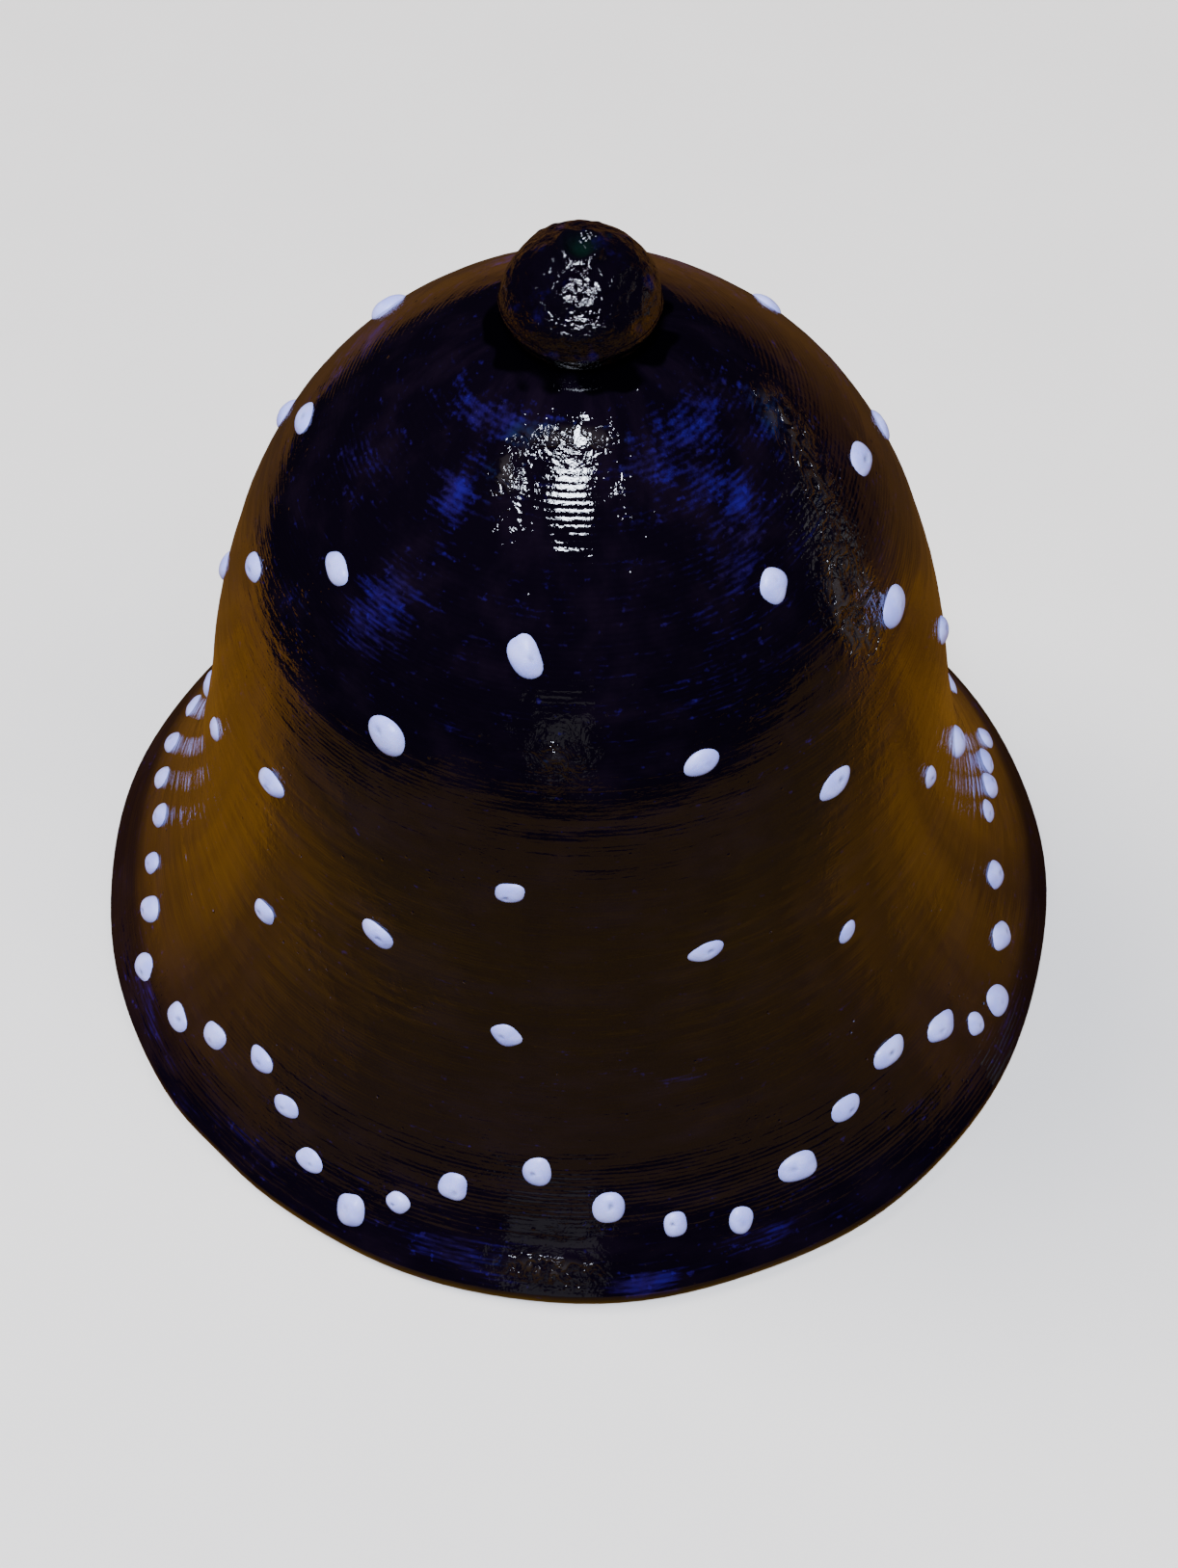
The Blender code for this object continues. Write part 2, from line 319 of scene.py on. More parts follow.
def painted_cobalt(name):
    """Near-black cobalt with brighter brushed patches under a thick wet gloss.

    The mesh says how thinly the dark colour lies in "thinness_and_shadow", which goes far
    below zero on the crown round the knob's foot, where the colour is painted black: a painted
    shadow and dark reflection of the knob. It says how rough the gloss is in "rough", how much
    of it is missing in "dull", and in "brush" a direction round the bell and the number of
    rings from below. Where it is roughest the gloss is dull and the colour grey: partly a grey
    scurf where the gloss set, partly a painted reflection of the room in its wrinkles.
    """
    mat = new_material(name, Roughness=0.6, Specular_IOR_Level=0.0, Coat_Weight=1.0,
                       Coat_Roughness=0.03, Coat_IOR=1.52)
    n = Nodes(mat)
    brush = n.add("ShaderNodeAttribute", attribute_name="brush").outputs["Vector"]
    thinness_and_shadow = n.stored("thinness_and_shadow")
    rough = n.stored("rough")
    dull = n.stored("dull")
    crest = n.math("SINE", n.times(n.axes(brush)["Z"], TURN), 0.0)
    streaks = n.noise(1.0, 4.0, 0.65, n.stretched((6.0, 6.0, 0.40), brush))
    hairs = n.noise(1.0, 3.0, 0.65, n.stretched((18.0, 18.0, 1.1), brush))
    flecks = n.noise(1900.0, 2.0, 0.5)
    cover = thinness_and_shadow
    for marks, strength in ((streaks, 1.9), (hairs, 1.5)):
        cover = n.plus(cover, n.times(n.math("SUBTRACT", marks, 0.5), strength))
    cover = n.plus(cover, n.times(crest, 0.12))
    cover = n.plus(cover, n.ramp(flecks, 0.60, 0.74, 0.0, 0.5))
    blotches = n.noise(330.0, 4.0, 0.6)
    tinted = n.mix(n.ramp(blotches, 0.38, 0.66), COBALT, NAVY)
    tinted = n.mix(n.ramp(rough, 0.35, 0.9, 0.0, 0.7), tinted, TEAL)
    veil = n.ramp(n.noise(1.0, 4.0, 0.6, n.stretched((4.0, 4.0, 0.10), brush)), 0.42, 0.75)
    dark = n.mix(veil, NEAR_BLACK, VIOLET_BROWN)
    # Far below zero, on the crown round the knob's foot, the colour is painted black: painted
    # shadow and dark reflection of the knob
    dark = n.mix(n.ramp(thinness_and_shadow, -1.1, -0.2), KNOB_SHADOW_BLACK, dark)
    # Where the gloss is roughest it is dulled and painted grey: partly a scurf, partly a painted
    # reflection of the room in the wrinkles
    webs = n.ramp(n.noise(720.0, 2.5, 0.5, distortion=1.6), 0.47, 0.60)
    scurf_and_reflection = n.times(webs, n.ramp(rough, 0.75, 1.5, 0.0, 0.85))
    painted = n.mix(n.ramp(cover, 0.22, 1.30), dark, tinted)
    n.set("Base Color", n.mix(scurf_and_reflection, painted, SCURF_AND_REFLECTION_GREY))
    n.set("Coat Weight", n.ramp(n.plus(dull, scurf_and_reflection), 0.0, 1.0, 1.0, 0.3))

    brushed = n.noise(1.0, 4.0, 0.6, n.stretched((9.0, 9.0, 0.5), brush))
    relief = n.bump(brushed, 0.030 * MM)
    crinkle = n.noise(1050.0, 3.0, 0.6, distortion=0.5)
    clusters = n.ramp(n.noise(150.0, 3.0), 0.50, 0.68, 0.0, 0.45)
    in_places = n.math("MAXIMUM", clusters, rough)
    relief = n.bump(n.times(crinkle, in_places), 0.15 * MM, relief)
    relief = n.bump(n.times(webs, n.ramp(rough, 0.5, 1.2)), 0.12 * MM, relief)
    relief = n.bump(n.times(n.specks(0.42, 0.11, 0.5), in_places), 0.05 * MM, relief)
    relief = n.bump(n.specks(1.5, 0.17, 0.3), 0.045 * MM, relief)
    gloss_coat(n, relief)
    return mat


def knob_cobalt():
    """The same paint on the bead, thicker and more crumpled.

    The mesh says where the dent is in "dent", painted near-black green as painted shade and a
    painted green reflection, and in "worn" a band round the bead's widest part, painted brown
    as a painted reflection of the table.
    """
    mat = new_material("knob_paint", Roughness=0.6, Specular_IOR_Level=0.0, Coat_Weight=1.0,
                       Coat_Roughness=0.05, Coat_IOR=1.52)
    n = Nodes(mat)
    patches = n.noise(520.0, 4.0, 0.65)
    green = n.noise(700.0, 2.0, 0.5)
    blue = n.mix(n.ramp(green, 0.5, 0.7), COBALT, TEAL)
    paint = n.mix(n.ramp(patches, 0.55, 0.95), NEAR_BLACK, blue)
    # The dent is painted near-black green: painted shade in the hollow and a painted green
    # reflection
    paint = n.mix(n.stored("dent"), paint, DENT_SHADE_GREEN)
    # A band under the bead's widest part is painted brown: a painted reflection of the table
    grit = n.noise(1300.0, 3.0, 0.6)
    table_reflection = n.times(n.stored("worn"), n.ramp(grit, 0.35, 0.62))
    n.set("Base Color", n.mix(table_reflection, paint, TABLE_REFLECTION_BROWN))
    crumple = n.noise(1.0, 3.0, 0.6, n.stretched((1500.0, 2300.0, 2300.0)), distortion=0.6)
    relief = n.bump(crumple, 0.12 * MM)
    grains = n.times(n.noise(3300.0, 2.0, 0.6), n.ramp(n.noise(420.0, 2.0), 0.45, 0.6))
    relief = n.bump(grains, 0.11 * MM, relief)
    relief = n.bump(n.specks(0.8, 0.2, 0.4), 0.05 * MM, relief)
    gloss_coat(n, relief)
    return mat


def white_paint():
    """Thick white paint: satin, slightly blue, with faint ridges, and painted shade in the dents.
    """
    mat = new_material("white_paint", Roughness=0.38, Specular_IOR_Level=0.45,
                       Subsurface_Weight=0.08, Subsurface_Scale=0.0006)
    n = Nodes(mat)
    ridges = n.noise(1500.0, 3.0, 0.6, distortion=0.8)
    cloud = n.noise(520.0, 3.0, 0.5)
    white = n.mix(n.ramp(cloud, 0.35, 0.7), (0.31, 0.35, 0.88), (0.45, 0.49, 1.0))
    # The dents are painted darker blue: painted shade
    n.set("Base Color", n.mix(n.stored("dent"), white, (0.13, 0.15, 0.30)))
    n.set("Normal", n.bump(ridges, 0.035 * MM))
    return mat


def bare_inside(name):
    """The unpainted inside of the bell: matt, darkened by runs of the same cobalt."""
    mat = new_material(name, Roughness=0.55, Specular_IOR_Level=0.4, Coat_Weight=0.2,
                       Coat_Roughness=0.3)
    n = Nodes(mat)
    runs = n.noise(120.0, 4.0, 0.6, n.stretched((1.0, 1.0, 0.35)))
    colour = n.mix(n.ramp(runs, 0.35, 0.7), (0.006, 0.006, 0.022), (0.016, 0.022, 0.12))
    n.set("Base Color", colour)
    n.set("Normal", n.bump(n.noise(900.0, 3.0), 0.03 * MM))
    return mat


def metal(name, colour, roughness, streak_scale, streak_depth):
    """Worn metal: fine drawn or turned streaks, darker tarnish in spots."""
    mat = new_material(name, Metallic=1.0)
    n = Nodes(mat)
    tarnish = n.noise(700.0, 4.0, 0.6)
    dark = tuple(0.45 * c for c in colour)
    n.set("Base Color", n.mix(n.ramp(tarnish, 0.52, 0.78), colour, dark))
    n.set("Roughness", n.ramp(tarnish, 0.3, 0.8, roughness, roughness + 0.25))
    streaks = n.noise(1.0, 3.0, 0.6, n.stretched(streak_scale))
    n.set("Normal", n.bump(streaks, streak_depth * MM))
    return mat


def felt():
    """Grey-black felt with tangled fibres."""
    mat = new_material("dark_felt", Roughness=0.95, Specular_IOR_Level=0.1, Sheen_Weight=0.5,
                       Sheen_Roughness=0.5)
    n = Nodes(mat)
    fibres = n.noise(2600.0, 5.0, 0.75, distortion=1.5)
    n.set("Base Color", n.mix(fibres, (0.020, 0.020, 0.026), (0.085, 0.085, 0.095)))
    n.set("Normal", n.bump(fibres, 0.15 * MM))
    return mat


# ---------------- bell body

# Places where the dark colour lies thin: azimuth, height, half widths in degrees and mm, how thin
THIN_PATCHES = [
    (42, 54.4, 17, 2, 0.5), (47, 51.6, 8, 1.6, 0.6), (62, 55.6, 16, 0.9, 0.5),
    (24, 55.2, 15, 0.9, 0.35), (36, 49.6, 8, 1.4, 0.5), (-38, 53.2, 7, 1.2, 1),
    (-46, 55.9, 20, 0.7, 0.8), (-24, 56.4, 14, 0.5, 0.7), (-42, 47.2, 7, 2.4, 0.75),
    (-70, 51, 10, 1.6, 0.4), (-62, 43, 8, 2.4, 0.35), (24, 44.6, 14, 1.2, 0.25),
    (34, 47.2, 10, 1.2, 0.25), (-14, 3, 6, 1, 0.9), (8, 1.8, 4, 0.8, 1),
    (24, 2.6, 6, 0.7, 0.6), (-43, 2.4, 8, 0.9, 0.35), (-66, 2.8, 7, 1, 0.4),
    (60, 2.8, 9, 1, 0.3), (76, 53.2, 9, 1.3, 0.7), (14, 16, 14, 2, 0.25),
    (150, 52, 16, 2, 0.7), (205, 54, 14, 1.8, 0.8), (182, 44, 12, 2, 0.5),
    (120, 46, 9, 2, 0.6), (245, 50, 12, 2, 0.6), (130, 2.4, 16, 0.9, 0.5),
    (175, 2.2, 20, 0.8, 0.6), (220, 2.4, 14, 0.9, 0.5), (190, 22, 16, 2.4, 0.3),
    (168, 48.5, 8, 1.4, 0.8), (228, 46, 9, 2.2, 0.6), (135, 30, 9, 3, 0.35),
]
# Height where the crown round the knob's foot begins to turn black and dull, and how soon; the
# black is painted shadow and reflection of the knob
KNOB_SHADOW_START = 57.4
KNOB_SHADOW_FADE = 0.25
# Places where the gloss dried wrinkled, in the same form
ROUGH_PATCHES = [
    (60, 44.2, 7, 3.6, 2.2), (80, 52.6, 10, 2.2, 1.3), (70, 49.5, 8, 2.4, 1),
    (-26, 54.6, 9, 1.4, 1.2), (-2, 56.2, 24, 0.7, 1.3), (16, 54, 6, 1.6, 0.7),
    (-20, 52.4, 6, 1.2, 0.7), (-58, 44, 8, 5, 0.6), (-3, 42.4, 7, 2.2, 1),
    (-70, 30, 12, 9, 0.45), (70, 28, 14, 9, 0.5), (-3, 2.8, 8, 1.1, 1.3),
    (-52, 30, 6, 8, 0.5), (52, 36, 7, 6, 0.6), (160, 48, 18, 6, 0.9),
    (215, 38, 16, 9, 0.6), (110, 20, 20, 8, 0.5), (190, 14, 14, 7, 0.6),
    (240, 30, 14, 8, 0.6),
]
# Stretches of the lip where the gloss is mostly missing: azimuth, height, half widths, how much
DULL_PATCHES = [
    (-84, 2, 44, 2.5, 1.3), (90, 1.6, 42, 2, 1.2), (180, 1.4, 44, 1.6, 1),
]


def lip_wander(azimuth, height):
    """How far the hand-made lip strays outwards or inwards, in millimetres."""
    near_lip = unit(1.0 - height / 9.0) ** 1.5
    wave = 0.16 * np.sin(3 * azimuth + 0.6) + 0.10 * np.sin(7 * azimuth + 2.1)
    wave += 0.06 * np.sin(13 * azimuth)
    flat = np.exp(-((azimuth + math.radians(47)) / math.radians(6)) ** 2)
    return near_lip * (wave - 0.32 * flat - 0.1)


def ring_wise(azimuth, height, turns, rise):
    """Noise coordinates that follow the rings: turns round the axis, rise up the wall."""
    return np.stack([turns * np.sin(azimuth), turns * np.cos(azimuth), rise * height], 1)


def surface_relief(azimuth, height, place, facing_up):
    """Height of the painted surface over the plain outline: lumps, brush strokes and rings."""
    lumps = 0.040 * soft_noise(place, 9.0, 1) + 0.016 * soft_noise(place, 4.0, 2)
    on_wall = unit((50.0 - height) / 6.0)
    strokes = (0.014 + 0.022 * on_wall) * soft_noise(ring_wise(azimuth, height, 9.0, 1.1), 1.0, 3)
    strokes += 0.009 * on_wall * soft_noise(ring_wise(azimuth, height, 5.0, 3.0), 1.0, 6)
    wander = 0.35 * soft_noise(ring_wise(azimuth, height, 2.5, 0.12), 1.0, 4)
    strength = 0.75 + 1.1 * soft_noise(ring_wise(azimuth, height, 1.8, 0.35), 1.0, 5)
    depth = RING_STEEP + (RING_FLAT - RING_STEEP) * unit(facing_up)
    depth *= 1.0 - 0.65 * unit((height - 54.7) / 0.8)
    rings = np.clip(strength, 0.15, 1.4) * np.cos(TURN * (height / LAYER + wander))
    return lumps + strokes + depth * rings


def patches(azimuth, height, places):
    """Sum of soft patches, each given by azimuth, height, half widths and amount."""
    total = np.zeros(len(azimuth))
    for middle, level, wide, tall, amount in places:
        turn = np.degrees(azimuth) - middle
        turn = (turn + 180.0) % 360.0 - 180.0
        reach = (turn / wide) ** 2 + ((height - level) / tall) ** 2
        total += amount * np.exp(-reach)
    return total


def body_rings():
    """Rows of the body's outline after the painted outside: lip, stand, inside, seat and hole."""
    lip_r, lip_z = OUTLINE[-1]
    round_lip = [(lip_r, lip_z * 0.6), (lip_r, LIP_ROUND)]
    for k in (1, 2, 3):
        angle = math.radians(30 * k)
        in_by = LIP_ROUND * (1 - math.cos(angle))
        round_lip.append((lip_r - in_by, LIP_ROUND * (1 - math.sin(angle))))
    stand = [(34.0, 0.0), (33.4, 0.0), (STAND_R + 0.15, 0.0), (STAND_R - 0.1, 0.12)]
    coarse = resampled(smooth_curve(OUTLINE, 12), INSIDE_STEP)
    inside = coarse - WALL * normals_of(coarse)
    inside = [tuple(p) for p in inside[::-1] if p[0] > SEAT_R and p[1] > 0.5]
    seat_z = inside[-1][1]
    top = OUTLINE[0][1]
    seat = [(SEAT_R, seat_z), (HOLE_R + 0.1, seat_z), (HOLE_R, seat_z + 0.1)]
    crown = [(HOLE_R, top - 0.15), (HOLE_R + 0.15, top), (3.2, top)]
    return round_lip + stand + inside + seat + crown


def make_body():
    """The bell body. Its painted outside is a fine mesh, and the rest of it a plain one."""
    plain = np.array(body_rings())
    rows = len(OUTSIDE)
    radius, height, azimuth = turned(OUTSIDE, BODY_SIDES, -math.pi)
    arc = np.repeat(OUTSIDE_ARC, BODY_SIDES)
    place = around(radius, height, azimuth)
    fade = unit(np.minimum(arc / 2.0, (OUTSIDE_ARC[-1] - arc) / 1.0))
    out_r, out_z = (np.repeat(way, BODY_SIDES) for way in OUTSIDE_NORMALS.T)
    relief = surface_relief(azimuth, height, place, out_z) * fade
    strayed = lip_wander(azimuth, height)
    outside = around(radius + relief * out_r + strayed, height + relief * out_z, azimuth)

    plain_r, plain_z, plain_azimuth = turned(plain, BODY_SIDES, -math.pi)
    rest = around(plain_r + lip_wander(plain_azimuth, plain_z), plain_z, plain_azimuth)
    verts = np.concatenate([outside, rest])
    faces = grid_faces(rows + len(plain), BODY_SIDES, wrap_rows=True)
    obj = mesh_object("painted_body", verts, faces, painted_cobalt("cobalt_paint"), 50)
    obj.data.materials.append(bare_inside("inside_paint"))
    first_inside = (rows + LIP_RINGS) * BODY_SIDES
    last_inside = (rows + len(plain) - CROWN_RINGS) * BODY_SIDES
    slots = np.zeros(len(faces), np.int32)
    slots[first_inside:last_inside] = 1
    obj.data.polygons.foreach_set("material_index", slots)

    all_azimuth = np.concatenate([azimuth, plain_azimuth])
    all_height = np.concatenate([height, plain_z])
    brush = np.stack([np.sin(all_azimuth), np.cos(all_azimuth), all_height / LAYER], 1)
    thinness_and_shadow = patches(all_azimuth, all_height, THIN_PATCHES) + 0.14 * soft_noise(verts, 5.0, 8) - 0.04
    above_flare = unit((all_height - 6.0) / 3.0)
    thinness_and_shadow -= 0.16 * above_flare * unit((44.0 - all_height) / 6.0)
    # The crown round the knob's foot is painted black and made dull: painted shadow and dark
    # reflection of the knob
    ragged = all_height + 0.5 * soft_noise(verts, 1.6, 9)
    crown = unit((ragged - KNOB_SHADOW_START) / KNOB_SHADOW_FADE)
    thinness_and_shadow -= 1.5 * crown
    add_values(obj, "brush", brush)
    add_values(obj, "thinness_and_shadow", thinness_and_shadow)
    add_values(obj, "rough", patches(all_azimuth, all_height, ROUGH_PATCHES))
    add_values(obj, "dull", patches(all_azimuth, all_height, DULL_PATCHES) + crown)
    stand_for(obj, "bell_body", "bell")


def stand_for(obj, node, body):
    """Puts a finer piece in a CAD node's place and riding on a body."""
    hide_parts(node)
    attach(obj, body)


def add_values(obj, name, values):
    """A named number or vector at each vertex, which the materials read."""
    kind, key = ("FLOAT", "value") if np.ndim(values) == 1 else ("FLOAT_VECTOR", "vector")
    attribute = obj.data.attributes.new(name, kind, "POINT")
    attribute.data.foreach_set(key, np.asarray(values, np.float32).ravel())


# ---------------- paint drops

DROP_RINGS = 9
DROP_SIDES = 28
DROP_SUNK = 0.12             # how far a drop's edge lies under the painted surface
DENT_DEPTHS = (0.08, 0.18, 0.30)


def on_body(turn, arc, lift):
    """Points over the bell's outside: azimuth in radians, distance along the outline, lift."""
    columns = (*OUTSIDE.T, *OUTSIDE_NORMALS.T)
    radius, height, out_r, out_z = (np.interp(arc, OUTSIDE_ARC, column) for column in columns)
    strayed = lip_wander(turn, height)
    return around(radius + strayed + lift * out_r, height + lift * out_z, turn)


def drop_dome(width, length, rng):
    """One drop lying flat: points (across, along, lift) and how deep each lies in a dent.

    The first point is the middle of the top, then rings of points go down to the edge, and
    the last ring closes the underside.
    """
    rise = rng.uniform(0.24, 0.33) * min(width, length)
    lobes = [(m, rng.uniform(0.0, 0.05), rng.uniform(0.0, TURN)) for m in (2, 3, 4)]
    tilt = (rng.uniform(-0.15, 0.15), rng.uniform(-0.2, 0.1))
    dent = (rng.uniform(-0.35, 0.35), rng.uniform(-0.3, 0.35))
    dent_depth = rng.choice(DENT_DEPTHS)
    ridge = rng.uniform(0.0, math.pi)
    reach = np.repeat(np.sin(0.5 * math.pi * np.arange(1, DROP_RINGS + 1) / DROP_RINGS), DROP_SIDES)
    turn = np.tile(TURN * np.arange(DROP_SIDES) / DROP_SIDES, DROP_RINGS)
    edge = 1.0 + sum(size * np.cos(m * turn + start) for m, size, start in lobes)
    across = np.concatenate([[0.0], reach * edge * np.cos(turn)])
    along = np.concatenate([[0.0], reach * edge * np.sin(turn)])
    reach = np.concatenate([[0.0], reach])
    lift = (1.0 - np.minimum(reach, 1.0) ** 2.4) ** 0.6
    lift *= 1.0 + tilt[0] * across + tilt[1] * along
    waves = np.sin(4.5 * (across * math.cos(ridge) + along * math.sin(ridge)) + ridge)
    lift += 0.05 * waves * (1.0 - reach)
    hollow = np.exp(-((across - dent[0]) ** 2 + (along - dent[1]) ** 2) / 0.022)
    lift = rise * (lift - dent_depth * hollow) - DROP_SUNK
    points = np.stack([across * width / 2, along * length / 2, lift], 1)
    under = points[-DROP_SIDES:] - np.array([0.0, 0.0, 0.15])
    dents = np.concatenate([hollow * dent_depth / DENT_DEPTHS[-1], np.zeros(DROP_SIDES)])
    return np.concatenate([points, under]), dents


def make_drops(name, drops, paint):
    """Drops of paint joined into one piece. Each says azimuth, height, width, length and lean."""
    rng = random.Random(name + str(SEED))
    verts = []
    faces = []
    dents = []
    count = 0
    for azimuth, height, width, length, lean in drops:
        flat, deep = drop_dome(width, length, rng)
        lean = math.radians(lean)
        right = flat[:, 0] * math.cos(lean) - flat[:, 1] * math.sin(lean)
        up = flat[:, 0] * math.sin(lean) + flat[:, 1] * math.cos(lean)
        wall = OUTSIDE[:, 0] > 6.0
        middle = float(np.interp(-height, -OUTSIDE[wall][:, 1], OUTSIDE_ARC[wall]))
        middle = min(middle, OUTSIDE_ARC[-1] + 0.15 - np.abs(up).max())
        radius = float(np.interp(middle, OUTSIDE_ARC, OUTSIDE[:, 0]))
        turn = math.radians(azimuth) + right / radius
        verts.append(on_body(turn, middle - up, flat[:, 2]))
        dents.append(deep)
        faces += dome_faces(count, DROP_RINGS, DROP_SIDES)
        count += len(flat)
    obj = mesh_object(name, np.concatenate(verts), faces, paint, 70)
    add_values(obj, "dent", np.concatenate(dents))
    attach(obj, "bell")


# Drops seen from the front: azimuth, height, width, length and lean to the left in degrees
FRONT_A = [
    (-97.5, 47.3, 1.9, 2.7, -80), (-56, 47.1, 1.7, 2.5, 75), (-10.5, 47.6, 2.0, 2.9, 32),
    (44, 48.3, 2.1, 2.2, 0), (87, 47.4, 2.1, 3.0, 65), (136, 47.6, 2.0, 2.7, 70),
    (-54, 31.3, 1.8, 2.8, -80), (-10, 32.7, 1.6, 2.1, -70), (43.5, 35.2, 1.9, 2.8, -75),
    (-52.5, 19.3, 1.8, 2.2, -70), (-10, 19.9, 1.9, 2.2, 60), (43, 21.7, 1.4, 1.9, -40),
]
FRONT_B = [
    (-76.5, 41.4, 1.7, 2.5, -75), (-33, 41.0, 2.4, 2.9, 65), (20.5, 41.2, 1.8, 2.4, -75),
    (68.5, 41.4, 2.4, 3.3, 85), (110.5, 41.8, 2.0, 2.8, 80),
    (-76.5, 25.9, 1.7, 2.5, -50), (-30.5, 25.3, 1.8, 2.6, 60), (19, 26.5, 1.7, 2.5, -80),
    (68, 25.9, 1.6, 2.3, 20),
]
FRONT_GARLAND = [
    (-112, 5.4, 1.8, 2.6, -60), (-105.5, 5.3, 1.8, 2.6, -40), (-98.5, 6.1, 1.9, 2.5, -40),
    (-90.5, 7.4, 1.9, 2.6, -45), (-84, 6.4, 1.7, 2.4, -40), (-77.5, 5.7, 2.1, 2.6, -45),
    (-71.5, 3.7, 2.1, 2.5, -75), (-61.5, 4.8, 2.0, 2.5, -90), (-54.5, 6.7, 2.0, 2.5, -65),
    (-46, 8.4, 1.8, 2.3, 85), (-40, 6.9, 1.7, 2.3, -80), (-34.5, 4.6, 1.8, 2.4, 85),
    (-27.5, 3.1, 2.2, 2.7, 15), (-22, 4.8, 1.7, 1.8, 70), (-15.5, 7.0, 2.1, 2.3, -30),
    (-5, 9.0, 2.0, 2.4, -10), (4, 6.6, 2.2, 2.6, -10), (12, 5.0, 1.7, 2.1, -5),
    (20, 4.2, 1.8, 2.2, -5), (28.5, 6.1, 2.3, 3.1, 85), (37, 8.1, 1.9, 2.6, 90),
    (46, 9.4, 2.1, 3.1, 88), (55.5, 7.5, 2.2, 3.1, 75), (61, 5.0, 1.7, 2.1, 10),
    (66.5, 4.1, 2.3, 3.0, 40), (74, 5.8, 2.1, 2.9, 55), (80.5, 8.1, 2.0, 2.8, 50),
    (89.5, 9.4, 1.8, 2.4, 40), (95.5, 8.2, 2.0, 2.6, 50), (101, 7.2, 2.0, 2.6, 50),
    (108, 4.6, 1.9, 2.5, 30),
]


def back_drops(front, azimuths, heights, rng):
    """Drops of the given columns and rows that the front's list doesn't have yet."""
    drops = []
    for azimuth in azimuths:
        for height in heights:
            near = [d for d in front if abs(d[0] - azimuth) < 5 and abs(d[1] - height) < 4]
            if not near:
                drops.append(jittered(azimuth, height, rng))
    return drops


def jittered(azimuth, height, rng):
    """A drop of ordinary size near a place, as a hand would set it."""
    return (azimuth + rng.uniform(-1.5, 1.5), height + rng.uniform(-0.7, 0.7),
            rng.uniform(1.6, 2.2), rng.uniform(2.2, 3.0), rng.uniform(55, 125))


def back_garland(rng):
    """The garland's drops behind the bell, stepping between its turning points."""
    drops = []
    seen_to = FRONT_GARLAND[-1][0]
    for (a, low), (b, high) in zip(GARLAND, GARLAND[1:]):
        for k in range(GARLAND_STEPS):
            share = k / GARLAND_STEPS
            azimuth = a + (b - a) * share
            if seen_to + 4 < azimuth < 360 + FRONT_GARLAND[0][0] - 3:
                height = low + (high - low) * share + rng.uniform(-0.3, 0.3)
                drops.append((azimuth, height, rng.uniform(1.7, 2.1), rng.uniform(2.3, 2.9),
                              rng.uniform(40, 140)))
    return drops


def make_all_drops():
    """The two sets of columns on the wall and the garland above the lip, a piece each."""
    paint = white_paint()
    rng = random.Random(SEED)
    columns_a = FRONT_A + back_drops(FRONT_A, COLUMNS_A, HEIGHTS_A, rng)
    columns_b = FRONT_B + back_drops(FRONT_B, COLUMNS_B, HEIGHTS_B, rng)
    make_drops("paint_drops_columns_a", columns_a, paint)
    make_drops("paint_drops_columns_b", columns_b, paint)
    make_drops("paint_drops_garland", FRONT_GARLAND + back_garland(rng), paint)


# ---------------- knob

KNOB_R = 4.75
KNOB_DOWN = 3.7              # half height of the bead's lower part
KNOB_UP = 4.25               # and of its upper part, with the paint heaped on it
KNOB_Z = 60.05
KNOB_FOOT = 57.74            # the bead's flat underside rests on the crown
KNOB_ROWS = 110
KNOB_SIDES = 180
KNOB_PEAK = 1.04             # over 1 draws the bead's upper half up towards its middle
DENT_R = 0.75
DENT_DEPTH = 0.55
RIM_R = 1.25                 # the uneven rim round the dent
RIM_WIDTH = 0.36
TOP_SUNK = 0.14              # the upper half lies this much lower, under the rim


def knob_relief(way, place):
    """How far the bead's skin grows outwards: facets, folds, crumples and the worn ridge."""
    upper = np.clip(0.45 + way[:, 2], 0.12, 1.0)
    facets = np.abs(soft_noise(place, 3.0, 11)) - 0.2
    folds = np.abs(soft_noise(place, 1.2, 12)) - 0.2
    crumple = soft_noise(place, 0.55, 14) + 0.6 * soft_noise(place, 0.28, 15)
    grow = -0.20 * facets * (0.4 + upper) + 0.08 * soft_noise(place, 4.5, 13)
    grow += (0.036 * crumple - 0.07 * folds) * upper
    sway = 0.05 * np.sin(3 * np.arctan2(way[:, 0], -way[:, 1]) + 1.9)
    return grow + 0.12 * np.exp(-((way[:, 2] + 0.10 + sway) / 0.11) ** 2) - 0.06


